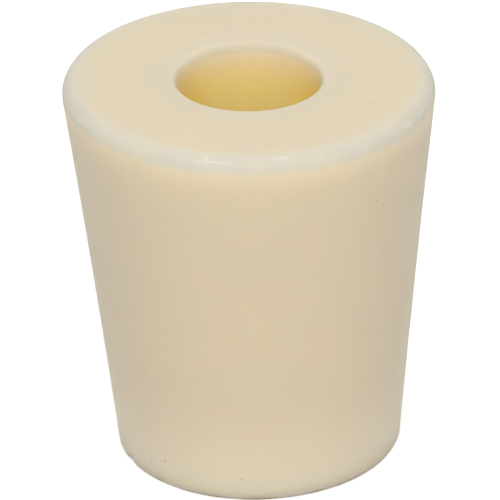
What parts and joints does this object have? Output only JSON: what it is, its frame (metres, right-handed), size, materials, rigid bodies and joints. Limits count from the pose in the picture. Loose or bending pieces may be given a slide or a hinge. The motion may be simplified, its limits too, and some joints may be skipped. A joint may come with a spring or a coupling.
{
  "type": "rubber stopper",
  "caption": "Tapered round rubber stopper with rounded edges and a straight bore through its middle, for passing a tube into a flask or bottle.",
  "frame": {"origin": "centre of the small end's face, on the axis of the bore; the stopper stands on this face", "axes": "+Z along the bore from the small end to the wide end; the wide end's face leans 1.15 degrees about Y, so that it is highest at -X; otherwise the stopper is round about Z"},
  "size_m": [0.0257, 0.0256, 0.0282],
  "materials": {
    "natural_rubber": "matte"
  },
  "bodies": {
    "root": {"stopper": "natural_rubber"}
  },
  "joints": []
}
